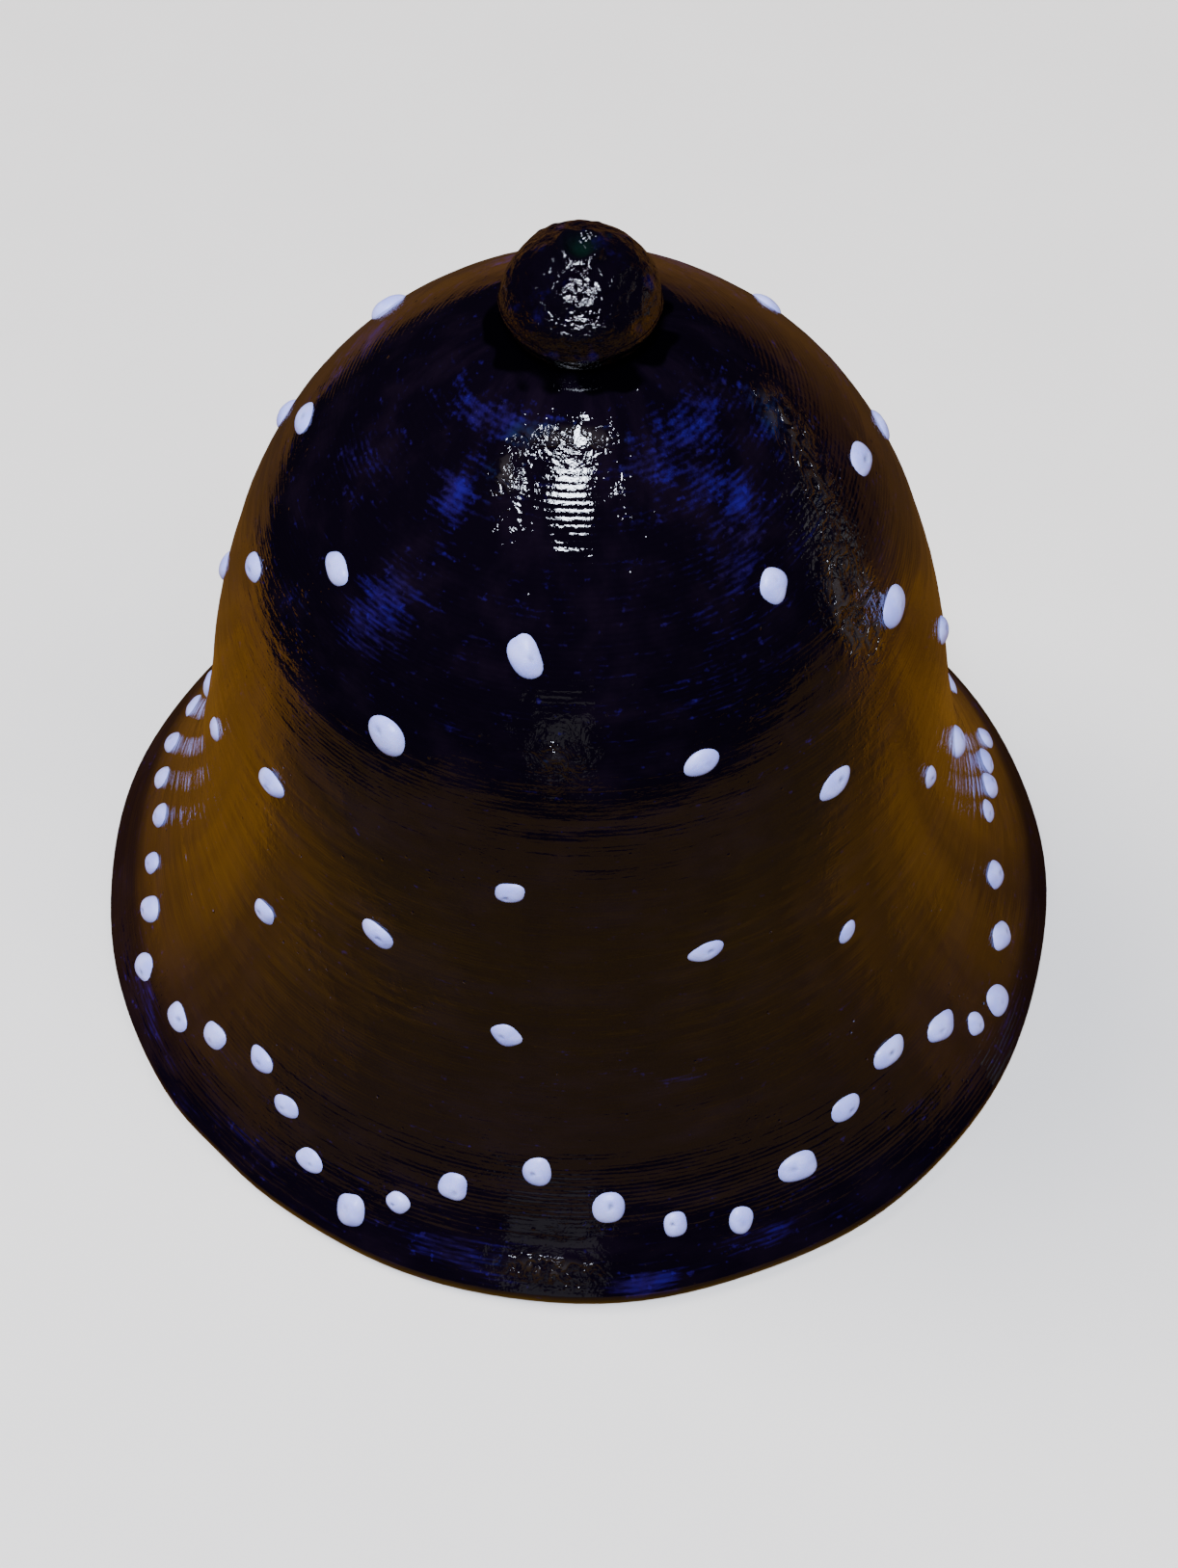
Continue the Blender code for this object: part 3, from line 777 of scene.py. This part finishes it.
def make_knob():
    """A lumpy bead, flat below, drawn up to a rim round the dent where the pin goes in."""
    half_angle = math.acos((KNOB_FOOT - KNOB_Z) / KNOB_DOWN)
    polar = np.repeat(half_angle * np.arange(1, KNOB_ROWS + 1) / KNOB_ROWS, KNOB_SIDES)
    turn = np.tile(TURN * np.arange(KNOB_SIDES) / KNOB_SIDES, KNOB_ROWS)
    out = np.sin(polar)
    out = np.where(polar < math.pi / 2, out ** KNOB_PEAK, out)
    way = np.stack([out * np.sin(turn), -out * np.cos(turn), np.cos(polar)], 1)
    way = np.concatenate([[(0.0, 0.0, 1.0)], way])
    place = way * KNOB_R
    flat_r = np.hypot(place[:, 0], place[:, 1])
    top = way[:, 2] > 0
    dent = np.where(top, np.exp(-(flat_r / DENT_R) ** 2), 0.0)
    rim = np.exp(-((flat_r - RIM_R) / RIM_WIDTH) ** 2) * (0.30 + 0.40 * soft_noise(place, 0.9, 16))
    half_height = np.where(top, KNOB_UP, KNOB_DOWN)
    foot_fade = unit((way[:, 2] * KNOB_DOWN + KNOB_Z - KNOB_FOOT) / 0.6)
    grow = knob_relief(way, place) * np.where(top, 1.0, foot_fade)
    size = np.stack([KNOB_R + grow, KNOB_R + grow, half_height + grow], 1)
    verts = way * size
    verts[:, 2] += KNOB_Z + np.where(top, rim - DENT_DEPTH * dent - TOP_SUNK, 0.0)
    under = verts[-KNOB_SIDES:] * np.array([0.5, 0.5, 1.0])
    verts = np.concatenate([verts, under])
    faces = dome_faces(0, KNOB_ROWS, KNOB_SIDES)
    obj = mesh_object("bead_knob", verts, faces, knob_cobalt(), 60)
    no_values = np.zeros(KNOB_SIDES)
    # A band just under the bead's widest part, which the knob's paint turns brown as a painted
    # reflection of the table
    sag = 0.12 * np.cos(np.arctan2(way[:, 0], -way[:, 1]) - 0.3)
    worn = np.exp(-((way[:, 2] + 0.24 + sag) / 0.11) ** 2)
    # The dent is painted dark green by the knob's paint: painted shade and a painted green
    # reflection
    add_values(obj, "dent", np.concatenate([dent, no_values]))
    add_values(obj, "worn", np.concatenate([worn, no_values]))
    stand_for(obj, "knob", "bell")


# ---------------- pin, nut, links and clapper

PIN_R = 0.8
PIN_TOP = 62.4               # the pin's end lies under the paint in the knob's dent
PIN_EYE_R = 2.4              # radius of the pin's eye, to the middle of its wire
PIN_BEND_R = 1.0             # bend between the shank and the eye
EYE_MOUTH = 42.0             # how far short of a full turn an eye stops, in degrees
THREAD_PITCH = 0.4
THREAD_DEPTH = 0.08
LINK_R = 2.6
LINK_WIRE_R = 0.6
LINK_GAP = 0.16              # between the two ends of a link's wire
STEM_R = 0.7
STEM_EYE_R = 2.2
STEM_BEND_R = 0.9
BALL_R = 6.3
COLLAR_R = 1.9
CUSHION_R = 4.6
WASHER_R = 3.5
NUT_FLAT = 2.3               # from the nut's axis to its faces
NUT_HOLE_R = 0.86
NUT_MOUTH_R = 1.14
WIRE_SIDES = 24
RING_SIDES = 96


def box_of(node):
    """Bottom and top of a CAD node in millimetres."""
    low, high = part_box(node)
    return low.z / MM, high.z / MM


def dense(corners, step):
    """Points about step apart along straight lines between corners, the corners included."""
    points = []
    for (r0, z0), (r1, z1) in zip(corners, corners[1:]):
        count = max(1, math.ceil(math.hypot(r1 - r0, z1 - z0) / step))
        points += [(r0 + (r1 - r0) * k / count, z0 + (z1 - z0) * k / count) for k in range(count)]
    return points + [corners[-1]]


def soft_ring(inner, outer, bottom, top, edge):
    """A flat ring's outline, from its upper hole edge round the outside, with rounded edges."""
    corners = [(inner, top - 0.1), (inner + 0.1, top)]
    for middle, start in (((outer - edge, top - edge), 90), ((outer - edge, bottom + edge), 0)):
        for k in range(6):
            angle = math.radians(start - 18 * k)
            corners.append((middle[0] + edge * math.cos(angle), middle[1] + edge * math.sin(angle)))
    return corners + [(inner + 0.1, bottom), (inner, bottom + 0.1)]


def turned_piece(name, node, body, verts, sides, look, smooth_angle):
    """A closed turned shape in a CAD node's place."""
    faces = grid_faces(len(verts) // sides, sides, wrap_rows=True)
    stand_for(mesh_object(name, verts, faces, look, smooth_angle), node, body)


def make_cushion(felt_look):
    """Felt washer, squeezed a little so that its edge bulges and frays."""
    sides = 110
    bottom, top = box_of("seat_cushion")
    outline = dense(soft_ring(1.0, CUSHION_R, bottom, top, 0.45), 0.14)
    radius, height, angle = turned(outline, sides)
    place = around(radius, height, angle)
    fray = 0.10 * soft_noise(place, 0.9, 21) + 0.09 * soft_noise(place, 0.3, 22)
    edge = unit((radius - 1.2) / 1.0)
    verts = around(radius + (fray - 0.04) * edge, height, angle)
    turned_piece("felt_cushion", "seat_cushion", "bell", verts, sides, felt_look, 60)


def make_washer(steel):
    """Stamped washer: rolled edge on one face, with the tool's faint turning marks."""
    bottom, top = box_of("clamp_washer")
    outline = dense(soft_ring(1.0, WASHER_R, bottom, top, 0.2), 0.16)
    radius, height, angle = turned(outline, RING_SIDES)
    place = around(radius, height, angle)
    marks = 0.012 * np.sin(radius * 24.0) + 0.014 * soft_noise(place, 0.8, 23)
    face = unit((3.2 - radius) / 0.3) * unit((radius - 1.1) / 0.3)
    way = np.where(height > (bottom + top) / 2, -1.0, 1.0)
    verts = around(radius, height + way * face * (0.02 + marks), angle)
    turned_piece("stamped_washer", "clamp_washer", "bell", verts, RING_SIDES,
                 steel, 40)


def make_nut(brass):
    """Hexagon nut, its corners cut back to a cone on both faces, with a thread in its hole."""
    sides = 120
    bottom, top = box_of("clamp_nut")
    flat = NUT_FLAT
    hole_top = (NUT_HOLE_R, top - 0.28)
    hole_bottom = (NUT_HOLE_R, bottom + 0.28)
    corners = [hole_top, (NUT_MOUTH_R, top), (flat, top), (flat, bottom), (NUT_MOUTH_R, bottom),
               hole_bottom]
    outline = dense(corners, 0.09) + dense([hole_bottom, hole_top], 0.05)[1:-1]
    radius, height, angle = turned(outline, sides)
    hexagon = flat / np.cos((angle % (math.pi / 3)) - math.pi / 6)
    from_face = np.minimum(height - bottom, top - height)
    cone = flat * 0.98 + from_face / math.tan(math.radians(30))
    outer = np.minimum(hexagon, cone)
    share = unit((radius - NUT_MOUTH_R) / (flat - NUT_MOUTH_R))
    reach = radius + share * (np.minimum(outer, flat / math.cos(math.pi / 6)) - flat)
    thread = 0.05 * np.cos(TURN * height / THREAD_PITCH + angle)
    reach = np.where(radius < 0.9, reach + thread - 0.02, reach)
    worn = 0.012 * soft_noise(around(radius, height, angle), 0.7, 24)
    verts = around(reach + worn, height, angle)
    turned_piece("hexagon_nut", "clamp_nut", "bell", verts, sides, brass, 25)


def shank_foot(eye_r, bend_r):
    """Height over the eye's middle at which the straight shank ends and the bend begins."""
    return math.sqrt((eye_r + bend_r) ** 2 - bend_r ** 2)


def eye_wire(eye_r, bend_r, shank):
    """Middle line (x, z) of a wire: a straight shank from above, bent into an eye round zero."""
    rise = shank_foot(eye_r, bend_r)
    lean = math.asin(bend_r / (eye_r + bend_r))
    points = dense([(0.0, rise + shank), (0.0, rise)], 0.05)
    bend_turn = math.pi / 2 - lean
    for k in range(1, 13):
        angle = math.pi + bend_turn * k / 12
        points.append((bend_r + bend_r * math.cos(angle), rise + bend_r * math.sin(angle)))
    round_eye = TURN - math.radians(EYE_MOUTH) - lean
    for k in range(1, 73):
        angle = lean + round_eye * k / 72
        points.append((eye_r * math.sin(angle), eye_r * math.cos(angle)))
    return np.array(points)


def wire_mesh(path, wire_r, shape=None):
    """Vertices and faces of a round wire with chamfered ends along a path of (x, z).

    shape(distance along, angle round the wire) gives the skin's offset in millimetres.
    """
    along = np.gradient(path, axis=0)
    along /= np.hypot(*along.T)[:, None]
    gone = walked(path)
    from_end = np.minimum(gone, gone[-1] - gone)
    angle = np.tile(TURN * np.arange(WIRE_SIDES) / WIRE_SIDES, len(path))
    gone = np.repeat(gone, WIRE_SIDES)
    from_end = np.repeat(from_end, WIRE_SIDES)
    skin = wire_r - 0.22 * wire_r * unit(1.0 - from_end / 0.16)
    if shape is not None:
        skin = skin + shape(gone, angle)
    middle = np.repeat(path, WIRE_SIDES, axis=0)
    aside = np.repeat(np.stack([along[:, 1], -along[:, 0]], 1), WIRE_SIDES, axis=0)
    out = skin * np.cos(angle)
    verts = np.stack([middle[:, 0] + out * aside[:, 0], skin * np.sin(angle),
                      middle[:, 1] + out * aside[:, 1]], 1)
    faces = grid_faces(len(path), WIRE_SIDES)
    faces.append(tuple(reversed(range(WIRE_SIDES))))
    last = (len(path) - 1) * WIRE_SIDES
    faces.append(tuple(last + k for k in range(WIRE_SIDES)))
    return verts, faces


def wire_skin(seed):
    """Slight unevenness of drawn wire: lengthwise marks and plier dents."""
    def offset(gone, angle):
        place = np.stack([1.6 * np.cos(angle), 1.6 * np.sin(angle), 0.5 * gone], 1)
        dents = unit(soft_noise(place * 0.6, 0.55, seed + 40) - 0.25)
        return 0.012 * soft_noise(place, 0.6, seed) - 0.07 * dents - 0.012
    return offset


def make_pin(steel):
    """Wire pin: threaded where the nut runs, bent into an eye below."""
    bottom = box_of("hanger_pin")[0]
    eye_z = bottom + PIN_R + PIN_EYE_R
    shank = PIN_TOP - eye_z - shank_foot(PIN_EYE_R, PIN_BEND_R)
    smooth = wire_skin(31)
    threaded_to = shank - 0.3

    def skin(gone, angle):
        share = unit((threaded_to - gone) / 0.25)
        thread = 0.5 * THREAD_DEPTH * (np.cos(TURN * gone / THREAD_PITCH - angle) - 1.0)
        return share * thread + (1.0 - share) * smooth(gone, angle)

    verts, faces = wire_mesh(eye_wire(PIN_EYE_R, PIN_BEND_R, shank), PIN_R, skin)
    verts[:, 2] += eye_z
    obj = mesh_object("threaded_pin", verts, faces, steel, 60)
    stand_for(obj, "hanger_pin", "bell")


def make_link(number, steel):
    """A ring of wire whose two ends meet at one side. Odd links lie in the YZ plane."""
    node = "chain_link_%d" % number
    bottom, top = box_of(node)
    half_gap = 0.5 * LINK_GAP / LINK_R
    turn = np.linspace(half_gap, TURN - half_gap, 150) + math.radians(70 + 55 * number)
    path = LINK_R * np.stack([np.sin(turn), np.cos(turn)], 1)
    verts, faces = wire_mesh(path, LINK_WIRE_R, wire_skin(50 + number))
    if number % 2 == 1:
        verts = np.stack([-verts[:, 1], verts[:, 0], verts[:, 2]], 1)
    verts[:, 2] += 0.5 * (bottom + top)
    obj = mesh_object("wire_link_%d" % number, verts, faces, steel, 60)
    stand_for(obj, node, "link_%d" % number)


def make_stem(steel):
    """The clapper's wire: an eye above, and its lower end hammered over under the collar."""
    bottom, top = box_of("clapper_stem")
    eye_z = top - STEM_R - STEM_EYE_R
    smooth = wire_skin(61)

    def skin(gone, angle):
        hammered = np.exp(-((gone - 0.14) / 0.12) ** 2)
        return smooth(gone, angle) + hammered * (0.05 + 0.03 * np.sin(5 * angle))

    shank = eye_z - bottom - shank_foot(STEM_EYE_R, STEM_BEND_R)
    path = eye_wire(STEM_EYE_R, STEM_BEND_R, shank)
    verts, faces = wire_mesh(path, STEM_R, skin)
    verts[:, 2] = eye_z - verts[:, 2]
    obj = mesh_object("clapper_wire", verts, faces, steel, 60)
    stand_for(obj, "clapper_stem", "clapper")


def make_ball(brass):
    """Turned ball: countersunk hole, fine turning grooves, and dents where it strikes."""
    sides = 144
    bottom, top = box_of("clapper_ball")
    middle = 0.5 * (bottom + top)
    hole = 0.85
    start = math.asin((hole + 0.25) / BALL_R)
    arc = [start + (math.pi - 2 * start) * k / 150 for k in range(151)]
    outline = [(BALL_R * math.sin(a), middle + BALL_R * math.cos(a)) for a in arc]
    outline += [(hole, bottom + 0.25)] + dense([(hole, bottom + 0.3), (hole, top - 0.3)], 1.0)
    outline += [(hole, top - 0.25)]
    radius, height, angle = turned(outline, sides)
    verts = around(radius, height, angle)
    skin = unit((radius - 1.3) / 0.8)
    grooves = 0.010 * np.cos(TURN * height / 0.34)
    grooves = grooves - 0.03 * np.exp(-((height - middle) / 0.13) ** 2)
    dents = np.zeros(len(verts))
    rng = random.Random(SEED + 70)
    for _ in range(60):
        turn = rng.uniform(0.0, TURN)
        lift = rng.gauss(-0.1, 0.25)
        hit = around(BALL_R * math.cos(lift), middle + BALL_R * math.sin(lift), turn)
        wide = rng.uniform(0.15, 0.45)
        away = np.linalg.norm(verts - hit, axis=1) / wide
        dents -= 0.10 * wide * np.exp(-away ** 4)
    grow = 1.0 + skin * (grooves + dents - 0.012) / BALL_R
    verts[:, :2] *= grow[:, None]
    verts[:, 2] = middle + (verts[:, 2] - middle) * grow
    turned_piece("turned_ball", "clapper_ball", "clapper", verts, sides, brass, 40)


def make_collar(node, name, brass, first_crimp):
    """A short tube pressed onto the stem with pliers, which leaves two pairs of dents."""
    bottom, top = box_of(node)
    outline = dense(soft_ring(0.74, COLLAR_R, bottom, top, 0.18), 0.08)
    radius, height, angle = turned(outline, RING_SIDES)
    level = (height - 0.5 * (bottom + top)) / 0.32
    crimps = np.exp(-level ** 2) * unit(np.cos(2 * (angle - first_crimp))) ** 6
    uneven = 0.02 * soft_noise(around(radius, height, angle), 0.7, 25)
    share = unit((radius - 1.0) / 0.8)
    verts = around(radius + share * (uneven - 0.01 - 0.20 * crimps), height, angle)
    turned_piece(name, node, "clapper", verts, RING_SIDES, brass, 50)


# Name, colour, roughness, and the streaks' scale and depth
METALS = [
    ("steel_wire", (0.50, 0.51, 0.53), 0.26, (900.0, 900.0, 250.0), 0.012),
    ("washer_steel", (0.44, 0.45, 0.48), 0.34, (1500.0, 1500.0, 300.0), 0.010),
    ("small_brass", (0.56, 0.37, 0.13), 0.28, (1200.0, 1200.0, 500.0), 0.010),
    ("clapper_brass", (0.60, 0.41, 0.15), 0.22, (150.0, 150.0, 6000.0), 0.010),
]


def make_hardware():
    """Everything that hangs inside the bell or holds it there."""
    looks = [metal(*values) for values in METALS]
    steel, washer_steel, small_brass, ball_brass = looks
    make_pin(steel)
    make_cushion(felt())
    make_washer(washer_steel)
    make_nut(small_brass)
    for number in (1, 2, 3):
        make_link(number, steel)
    make_stem(steel)
    make_ball(ball_brass)
    make_collar("clapper_collar_upper", "pressed_collar_upper", small_brass, 0.4)
    make_collar("clapper_collar_lower", "pressed_collar_lower", small_brass, 1.9)


# ---------------- camera, light and floor

FLOOR_SIZE = 6.0             # metres
BOARD = (-100, 700, -148, 900)       # left, right, front and back of the reflected board
CAMERA_AT = (0.66, -117.9, 174.3)
CAMERA_PITCH = 36.0          # from straight down, in degrees
CAMERA_ROLL = 0.4
LENS = 64.2


def make_camera():
    """Looks down at the bell from the front."""
    data = bpy.data.cameras.new("camera")
    data.lens = LENS
    data.clip_start = 0.01
    cam = bpy.data.objects.new("camera", data)
    bpy.context.scene.collection.objects.link(cam)
    cam.matrix_world = (Matrix.Translation(Vector(CAMERA_AT) * MM)
                        @ Matrix.Rotation(math.radians(CAMERA_PITCH), 4, "X")
                        @ Matrix.Rotation(math.radians(CAMERA_ROLL), 4, "Z"))
    bpy.context.scene.camera = cam


def direction(azimuth, elevation):
    """The way to a light from the bell."""
    turn = math.radians(azimuth)
    lift = math.radians(elevation)
    flat = math.cos(lift)
    return Vector((math.sin(turn) * flat, -math.cos(turn) * flat, math.sin(lift)))


def new_light(name, kind, power, way):
    """A light that shines along a direction towards the bell."""
    data = bpy.data.lights.new(name, kind)
    data.energy = power
    light = bpy.data.objects.new(name, data)
    bpy.context.scene.collection.objects.link(light)
    light.rotation_euler = way.to_track_quat("Z", "Y").to_euler()
    return light


def area_light(name, azimuth, elevation, distance, width, power, tall):
    """A soft light that faces the bell, this wide and tall in metres. The gloss reflects it."""
    way = direction(azimuth, elevation)
    light = new_light(name, "AREA", power, way)
    light.data.shape = "RECTANGLE"
    light.data.size = width
    light.data.size_y = tall
    light.location = Vector((0.0, 0.0, 0.04)) + way * distance
    light.visible_camera = False
    return light


def soft_sun(name, azimuth, elevation, strength):
    """Even, slightly warm light over the whole floor. The gloss doesn't reflect it."""
    sun = new_light(name, "SUN", strength, direction(azimuth, elevation))
    sun.data.angle = math.radians(35)
    sun.data.color = (1.0, 0.95, 0.88)
    sun.visible_glossy = False


def make_world():
    """Pale behind the bell, dark in its reflections."""
    world = bpy.data.worlds.new("studio")
    world.use_nodes = True
    tree = world.node_tree
    background = tree.nodes["Background"]
    path = tree.nodes.new("ShaderNodeLightPath")
    ray = tree.nodes.new("ShaderNodeMix")
    ray.data_type = "RGBA"
    ray.inputs[6].default_value = (0.005, 0.005, 0.007, 1.0)
    ray.inputs[7].default_value = (0.78, 0.77, 0.75, 1.0)
    tree.links.new(path.outputs["Is Camera Ray"], ray.inputs["Factor"])
    tree.links.new(ray.outputs[2], background.inputs["Color"])
    bpy.context.scene.world = world


def flat_sheet(left, right, front, back, height):
    """Corners of a level sheet, in millimetres."""
    corners = ((left, front), (right, front), (right, back), (left, back))
    return [(x, y, height) for x, y in corners]


def make_floor():
    """A plain pale floor that only the camera sees."""
    half = FLOOR_SIZE * 500.0
    verts = flat_sheet(-half, half, -half, half, -0.02)
    mat = new_material("floor", Roughness=0.85, Specular_IOR_Level=0.2)
    n = Nodes(mat)
    grain = n.noise(60.0, 5.0, 0.6)
    n.set("Base Color", n.mix(grain, (0.74, 0.715, 0.68), (0.80, 0.775, 0.735)))
    floor = mesh_object("floor", verts, [(0, 1, 2, 3)], mat)
    floor.visible_glossy = False
    floor.visible_diffuse = False
    floor.visible_shadow = False


def make_reflected_board():
    """A brown board that the bell reflects in place of the pale floor it is seen on, with painted
    shadow: darker in front of the bell, behind it, and most close behind it.
    """
    verts = flat_sheet(*BOARD, -0.03)
    mat = new_material("board", Roughness=0.8, Specular_IOR_Level=0.2)
    n = Nodes(mat)
    grain = n.noise(1.0, 5.0, 0.6, n.stretched((6.0, 90.0, 1.0)))
    at = n.axes()
    paler = n.ramp(at["X"], -0.07, 0.07, 0.30, -0.10)
    grain = n.plus(n.ramp(grain, 0.3, 0.7), paler)
    wood = n.mix(grain, (0.17, 0.066, 0.001), (0.36, 0.146, 0.003))
    # Darker towards the front of the bell: a painted shadow on the board
    shade = n.ramp(at["Y"], 0.01, -0.05)
    pores = n.ramp(n.noise(1.0, 3.0, 0.6, n.stretched((60.0, 700.0, 1.0))), 0.35, 0.65)
    front = n.mix(pores, (0.056, 0.030, 0.001), (0.140, 0.074, 0.002))
    wood = n.mix(shade, wood, front)
    # Darker behind the bell: a painted shadow of the bell
    behind = n.ramp(at["Y"], 0.012, 0.060, 0.0, 0.72)
    wood = n.mix(behind, wood, (0.022, 0.013, 0.008))
    # Darker again round a place close behind the bell: a painted shadow of the bell
    away = n.add("ShaderNodeVectorMath", {0: n.place, 1: (0.0, 0.048, 0.0)}, operation="DISTANCE")
    shade = n.ramp(away.outputs["Value"], 0.085, 0.035, 0.0, 0.75)
    n.set("Base Color", n.mix(shade, wood, (0.020, 0.009, 0.003)))
    board = mesh_object("reflected_board", verts, [(0, 1, 2, 3)], mat)
    board.visible_camera = False


def make_lights():
    """A window that the gloss reflects, two faint lights low down, and soft light on the floor."""
    window = area_light("window", -7, 63, 0.60, 0.120, 7.2, tall=0.155)
    window.data.color = (0.76, 0.83, 1.0)
    area_light("front_fill", -5, 5, 0.50, 0.15, 0.021, tall=0.13)
    area_light("room_right", 97, 3, 0.90, 0.30, 0.13, tall=0.20)
    soft_sun("sun_left", -110, 50, 3.6)
    soft_sun("sun_right", 70, 60, 1.6)


# ---------------- build

make_world()
make_camera()
make_floor()
make_reflected_board()
make_lights()
make_body()
make_all_drops()
make_knob()
make_hardware()
